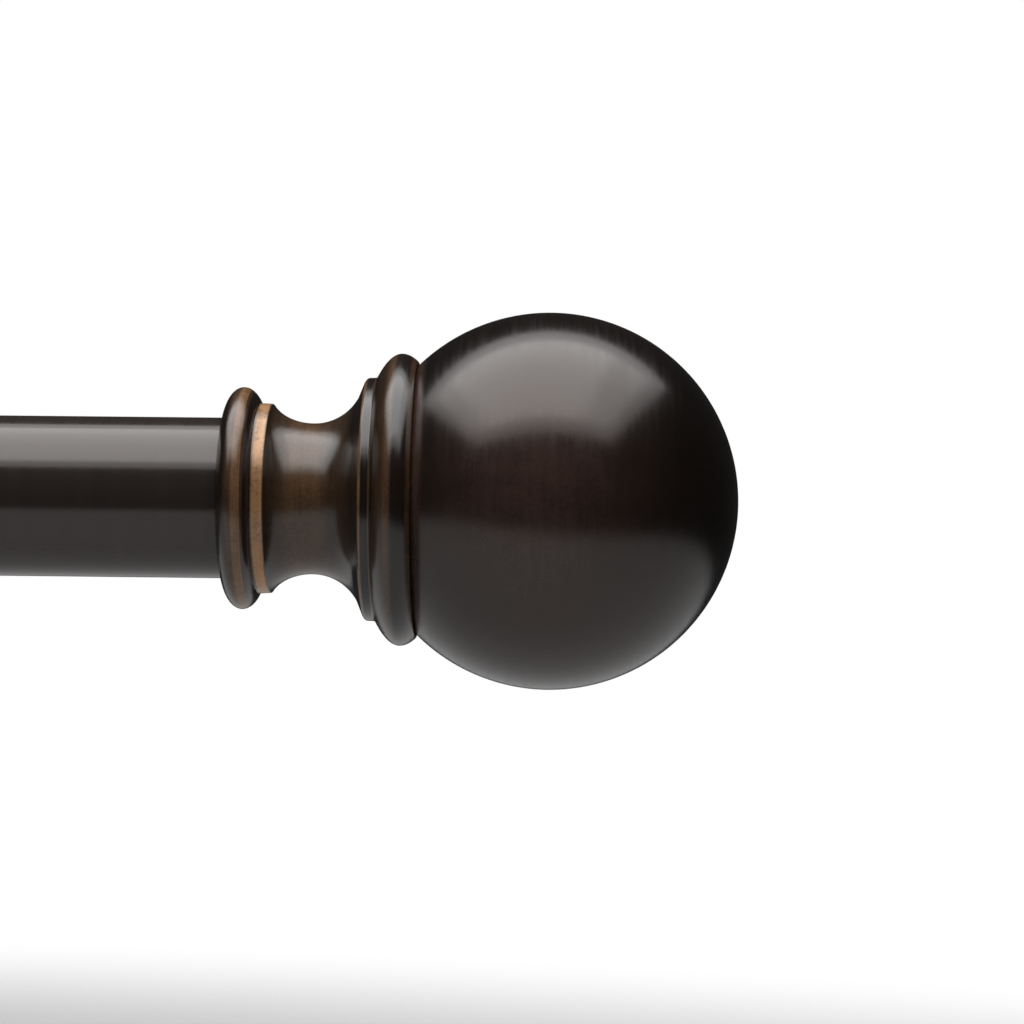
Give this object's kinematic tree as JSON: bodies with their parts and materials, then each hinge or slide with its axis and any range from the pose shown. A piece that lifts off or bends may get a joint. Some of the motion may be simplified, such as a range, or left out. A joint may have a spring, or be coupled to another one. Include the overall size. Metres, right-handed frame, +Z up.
{
  "type": "curtain rod with brackets",
  "caption": "Telescoping metal curtain rod with turned ball finials, laid in open wall-bracket cradles whose arms slide out and lock with thumb screws.",
  "frame": {"origin": "on the wall, midway between the two brackets and level with the rod's axis", "axes": "+X along the rod towards the fixed end, +Y into the wall, +Z up"},
  "size_m": [0.9734, 0.1553, 0.0594],
  "materials": {
    "rod_paint": "smooth dark bronze enamel, glossy",
    "finial_bronze": "dark bronze enamel rubbed through to copper on the fillets and beads, semi-gloss",
    "bracket_bronze": "dark bronze enamel with copper at the worn edges, semi-gloss",
    "zinc_steel": "zinc plated, satin",
    "nylon": "moulded, matt",
    "anchor_plastic": "moulded, matt"
  },
  "bodies": {
    "root": {"mounting_plate_left": "zinc_steel", "wall_screw_left_upper": "zinc_steel", "wall_screw_left_lower": "zinc_steel", "wall_anchor_left_upper": "anchor_plastic", "wall_anchor_left_lower": "anchor_plastic", "arm_fixing_screw_left": "zinc_steel", "sleeve_plug_left": "zinc_steel", "arm_sleeve_left": "bracket_bronze", "sleeve_collar_left": "bracket_bronze", "mounting_plate_right": "zinc_steel", "wall_screw_right_upper": "zinc_steel", "wall_screw_right_lower": "zinc_steel", "wall_anchor_right_upper": "anchor_plastic", "wall_anchor_right_lower": "anchor_plastic", "arm_fixing_screw_right": "zinc_steel", "sleeve_plug_right": "zinc_steel", "arm_sleeve_right": "bracket_bronze", "sleeve_collar_right": "bracket_bronze"},
    "cover_left": {"rosette_cover_left": "bracket_bronze", "cover_set_screw_left": "zinc_steel"},
    "cover_right": {"rosette_cover_right": "bracket_bronze", "cover_set_screw_right": "zinc_steel"},
    "arm_left": {"arm_rod_left": "bracket_bronze", "cradle_left": "bracket_bronze", "cradle_fixing_screw_left": "zinc_steel"},
    "arm_right": {"arm_rod_right": "bracket_bronze", "cradle_right": "bracket_bronze", "cradle_fixing_screw_right": "zinc_steel"},
    "arm_lock_pad_left": {"arm_lock_pad_left": "nylon"},
    "arm_lock_screw_left": {"arm_lock_screw_left": "bracket_bronze"},
    "rod_lock_pad_left": {"rod_lock_pad_left": "nylon"},
    "rod_lock_screw_left": {"rod_lock_screw_left": "bracket_bronze"},
    "arm_lock_pad_right": {"arm_lock_pad_right": "nylon"},
    "arm_lock_screw_right": {"arm_lock_screw_right": "bracket_bronze"},
    "rod_lock_pad_right": {"rod_lock_pad_right": "nylon"},
    "rod_lock_screw_right": {"rod_lock_screw_right": "bracket_bronze"},
    "rod": {"outer_tube": "rod_paint", "mouth_bush": "nylon", "end_insert_right": "zinc_steel"},
    "inner_rod": {"inner_tube": "rod_paint", "glide_plug": "nylon", "end_insert_left": "zinc_steel", "reducer_ring": "nylon"},
    "finial_neck_left": {"finial_neck_left": "finial_bronze"},
    "finial_ball_left": {"finial_ball_left": "finial_bronze", "ball_boss_left": "zinc_steel", "finial_stud_left": "zinc_steel"},
    "finial_neck_right": {"finial_neck_right": "finial_bronze"},
    "finial_ball_right": {"finial_ball_right": "finial_bronze", "ball_boss_right": "zinc_steel", "finial_stud_right": "zinc_steel"}
  },
  "joints": [
    {"name": "cover_slide_left", "type": "slide", "parent": "root", "child": "cover_left", "axis": [0, -1, 0], "range_m": [0, 0.025]},
    {"name": "cover_slide_right", "type": "slide", "parent": "root", "child": "cover_right", "axis": [0, -1, 0], "range_m": [0, 0.025]},
    {"name": "arm_extend_left", "type": "slide", "parent": "root", "child": "arm_left", "axis": [0, -1, 0], "range_m": [0, 0.03]},
    {"name": "arm_extend_right", "type": "slide", "parent": "root", "child": "arm_right", "axis": [0, -1, 0], "range_m": [0, 0.03]},
    {"name": "arm_lock_travel_left", "type": "slide", "parent": "root", "child": "arm_lock_pad_left", "axis": [0, 0, -1], "range_m": [0, 0.00161]},
    {"name": "arm_lock_turn_left", "type": "hinge", "parent": "arm_lock_pad_left", "child": "arm_lock_screw_left", "pos_m": [-0.26, -0.056, -0.0062], "axis": [0, 0, -1], "range_deg": [0, 720]},
    {"name": "arm_lock_travel_right", "type": "slide", "parent": "root", "child": "arm_lock_pad_right", "axis": [0, 0, -1], "range_m": [0, 0.00161]},
    {"name": "arm_lock_turn_right", "type": "hinge", "parent": "arm_lock_pad_right", "child": "arm_lock_screw_right", "pos_m": [0.26, -0.056, -0.0062], "axis": [0, 0, -1], "range_deg": [0, 720]},
    {"name": "rod_lock_travel_left", "type": "slide", "parent": "arm_left", "child": "rod_lock_pad_left", "axis": [0, -1, 0], "range_m": [0, 0.00161]},
    {"name": "rod_lock_turn_left", "type": "hinge", "parent": "rod_lock_pad_left", "child": "rod_lock_screw_left", "pos_m": [-0.26, -0.1029, 0], "axis": [0, -1, 0], "range_deg": [0, 720]},
    {"name": "rod_lock_travel_right", "type": "slide", "parent": "arm_right", "child": "rod_lock_pad_right", "axis": [0, -1, 0], "range_m": [0, 0.00161]},
    {"name": "rod_lock_turn_right", "type": "hinge", "parent": "rod_lock_pad_right", "child": "rod_lock_screw_right", "pos_m": [0.26, -0.1029, 0], "axis": [0, -1, 0], "range_deg": [0, 720]},
    {"name": "rod_lift", "type": "slide", "parent": "arm_left", "child": "rod", "axis": [0, 0, 1], "range_m": [0, 0.035]},
    {"name": "telescope", "type": "slide", "parent": "rod", "child": "inner_rod", "axis": [-1, 0, 0], "range_m": [-0.0988, 0.4092]},
    {"name": "finial_travel_right", "type": "slide", "parent": "rod", "child": "finial_neck_right", "axis": [1, 0, 0], "range_m": [0, 0.01001]},
    {"name": "finial_turn_right", "type": "hinge", "parent": "finial_neck_right", "child": "finial_ball_right", "pos_m": [0.457, -0.09, 0], "axis": [1, 0, 0], "range_deg": [0, 3600]},
    {"name": "finial_travel_left", "type": "slide", "parent": "inner_rod", "child": "finial_neck_left", "axis": [-1, 0, 0], "range_m": [0, 0.01001]},
    {"name": "finial_turn_left", "type": "hinge", "parent": "finial_neck_left", "child": "finial_ball_left", "pos_m": [-0.457, -0.09, 0], "axis": [-1, 0, 0], "range_deg": [0, 3600]}
  ],
  "couplings": [
    {"joint": "arm_extend_right", "follows": "arm_extend_left", "ratio": 1},
    {"joint": "arm_lock_travel_left", "follows": "arm_lock_turn_left", "m_per_rad": 0.00012732},
    {"joint": "arm_lock_travel_right", "follows": "arm_lock_turn_right", "m_per_rad": 0.00012732},
    {"joint": "rod_lock_travel_left", "follows": "rod_lock_turn_left", "m_per_rad": 0.00012732},
    {"joint": "rod_lock_travel_right", "follows": "rod_lock_turn_right", "m_per_rad": 0.00012732},
    {"joint": "finial_travel_right", "follows": "finial_turn_right", "m_per_rad": 0.00015915},
    {"joint": "finial_travel_left", "follows": "finial_turn_left", "m_per_rad": 0.00015915}
  ]
}
